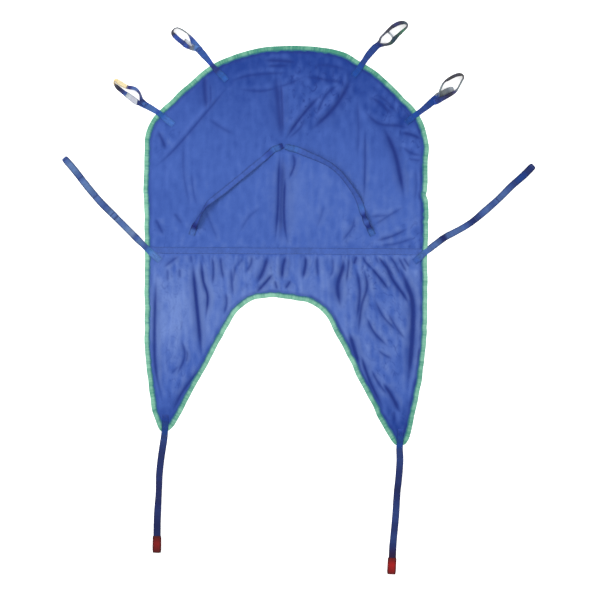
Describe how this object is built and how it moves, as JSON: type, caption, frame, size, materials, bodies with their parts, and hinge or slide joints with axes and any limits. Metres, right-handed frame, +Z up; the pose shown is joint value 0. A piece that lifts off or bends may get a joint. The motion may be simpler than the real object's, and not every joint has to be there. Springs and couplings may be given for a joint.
{
  "type": "patient lift sling",
  "caption": "Full-body patient-lift sling laid flat, with head support, divided legs, carry handles and hook straps that bend at their stitched roots.",
  "frame": {"origin": "middle of the waist band's underside, on the surface that the sling lies on", "axes": "+Y from the waist towards the head, +Z up from the surface, +X to the right seen from above"},
  "size_m": [1.8001, 2.0937, 0.025],
  "materials": {
    "royal_blue_cloth": "satin",
    "light_blue_cloth": "satin",
    "green_binding": "matt",
    "blue_webbing": "matt",
    "navy_webbing": "matt",
    "pale_tab": "matt",
    "yellow_webbing": "matt",
    "green_webbing": "matt",
    "black_webbing": "matt",
    "red_webbing": "matt"
  },
  "bodies": {
    "back": {"torso_panel": "royal_blue_cloth", "gathered_seat_top": "light_blue_cloth", "waist_band": "blue_webbing", "binding_back_left": "green_binding", "binding_back_right": "green_binding", "sewn_end_shoulder_left": "blue_webbing", "sewn_end_shoulder_right": "blue_webbing", "sewn_end_hip_left": "blue_webbing", "sewn_end_hip_right": "blue_webbing", "handle_left": "blue_webbing", "handle_right": "blue_webbing"},
    "head": {"head_panel": "royal_blue_cloth", "binding_head": "green_binding", "sewn_end_head_left": "blue_webbing", "sewn_end_head_right": "blue_webbing"},
    "seat": {"seat_panel": "light_blue_cloth", "binding_seat_left": "green_binding", "binding_seat_right": "green_binding", "binding_arch": "green_binding"},
    "leg_left": {"leg_panel_left": "light_blue_cloth", "binding_leg_left_outer": "green_binding", "binding_leg_left_inner": "green_binding", "sewn_end_leg_left": "navy_webbing"},
    "leg_right": {"leg_panel_right": "light_blue_cloth", "binding_leg_right_outer": "green_binding", "binding_leg_right_inner": "green_binding", "sewn_end_leg_right": "navy_webbing"},
    "strap_head_left": {"strap_head_left": "blue_webbing"},
    "loop_head_left": {"loop_head_left": "navy_webbing", "tab_head_left": "pale_tab", "colour_band_head_left": "black_webbing"},
    "strap_head_right": {"strap_head_right": "blue_webbing"},
    "loop_head_right": {"loop_head_right": "navy_webbing", "tab_head_right": "pale_tab", "colour_band_head_right": "green_webbing"},
    "strap_shoulder_left": {"strap_shoulder_left": "blue_webbing"},
    "loop_shoulder_left": {"loop_shoulder_left": "navy_webbing", "tab_shoulder_left": "pale_tab", "colour_band_shoulder_left": "yellow_webbing"},
    "strap_shoulder_right": {"strap_shoulder_right": "blue_webbing"},
    "loop_shoulder_right": {"loop_shoulder_right": "navy_webbing", "tab_shoulder_right": "pale_tab", "colour_band_shoulder_right": "black_webbing"},
    "strap_hip_left": {"strap_hip_left": "blue_webbing", "loops_hip_left": "navy_webbing"},
    "strap_hip_right": {"strap_hip_right": "blue_webbing", "loops_hip_right": "navy_webbing"},
    "strap_leg_left": {"strap_leg_left": "navy_webbing", "end_loop_leg_left": "red_webbing"},
    "strap_leg_right": {"strap_leg_right": "navy_webbing", "end_loop_leg_right": "red_webbing"}
  },
  "joints": [
    {"name": "neck_fold", "type": "hinge", "parent": "back", "child": "head", "pos_m": [0, 0.608, 0.0026], "axis": [1, 0, 0], "range_deg": [0, 90]},
    {"name": "seat_fold", "type": "hinge", "parent": "back", "child": "seat", "pos_m": [0, -0.07, 0.0026], "axis": [-1, 0, 0], "range_deg": [0, 90]},
    {"name": "leg_fold_left", "type": "hinge", "parent": "seat", "child": "leg_left", "pos_m": [-0.378, -0.205, 0.0026], "axis": [-1, 0, 0], "range_deg": [0, 60]},
    {"name": "leg_fold_right", "type": "hinge", "parent": "seat", "child": "leg_right", "pos_m": [0.3535, -0.205, 0.0026], "axis": [-1, 0, 0], "range_deg": [0, 60]},
    {"name": "strap_head_left_bend", "type": "hinge", "parent": "head", "child": "strap_head_left", "pos_m": [-0.28776, 0.7226, 0.0008], "axis": [0.7193, 0.6947, 0], "range_deg": [0, 90]},
    {"name": "loop_head_left_swing", "type": "hinge", "parent": "strap_head_left", "child": "loop_head_left", "pos_m": [-0.36383, 0.80137, 0.0125], "axis": [0, 0, 1], "range_deg": [-35, 35]},
    {"name": "strap_head_right_bend", "type": "hinge", "parent": "head", "child": "strap_head_right", "pos_m": [0.3057, 0.71752, 0.0008], "axis": [0.7431, -0.6691, 0], "range_deg": [0, 90]},
    {"name": "loop_head_right_swing", "type": "hinge", "parent": "strap_head_right", "child": "loop_head_right", "pos_m": [0.35803, 0.77563, 0.0125], "axis": [0, 0, 1], "range_deg": [-35, 35]},
    {"name": "strap_shoulder_left_bend", "type": "hinge", "parent": "back", "child": "strap_shoulder_left", "pos_m": [-0.50521, 0.53762, 0.0008], "axis": [0.5592, 0.829, 0], "range_deg": [0, 90]},
    {"name": "loop_shoulder_left_swing", "type": "hinge", "parent": "strap_shoulder_left", "child": "loop_shoulder_left", "pos_m": [-0.5657, 0.57843, 0.0125], "axis": [0, 0, 1], "range_deg": [-35, 35]},
    {"name": "strap_shoulder_right_bend", "type": "hinge", "parent": "back", "child": "strap_shoulder_right", "pos_m": [0.50864, 0.53649, 0.0008], "axis": [0.6561, -0.7547, 0], "range_deg": [0, 90]},
    {"name": "loop_shoulder_right_swing", "type": "hinge", "parent": "strap_shoulder_right", "child": "loop_shoulder_right", "pos_m": [0.56862, 0.58863, 0.0125], "axis": [0, 0, 1], "range_deg": [-35, 35]},
    {"name": "strap_hip_left_bend", "type": "hinge", "parent": "back", "child": "strap_hip_left", "pos_m": [-0.55404, 0.02439, 0.0008], "axis": [0.749, 0.6626, 0], "range_deg": [0, 90]},
    {"name": "strap_hip_right_bend", "type": "hinge", "parent": "back", "child": "strap_hip_right", "pos_m": [0.55406, 0.00389, 0.0008], "axis": [0.6361, -0.7716, 0], "range_deg": [0, 90]},
    {"name": "strap_leg_left_bend", "type": "hinge", "parent": "leg_left", "child": "strap_leg_left", "pos_m": [-0.4617, -0.70172, 0.0008], "axis": [-0.9987, 0.0506, 0], "range_deg": [0, 75]},
    {"name": "strap_leg_right_bend", "type": "hinge", "parent": "leg_right", "child": "strap_leg_right", "pos_m": [0.4331, -0.75588, 0.0008], "axis": [-0.9979, 0.0645, 0], "range_deg": [0, 75]}
  ]
}
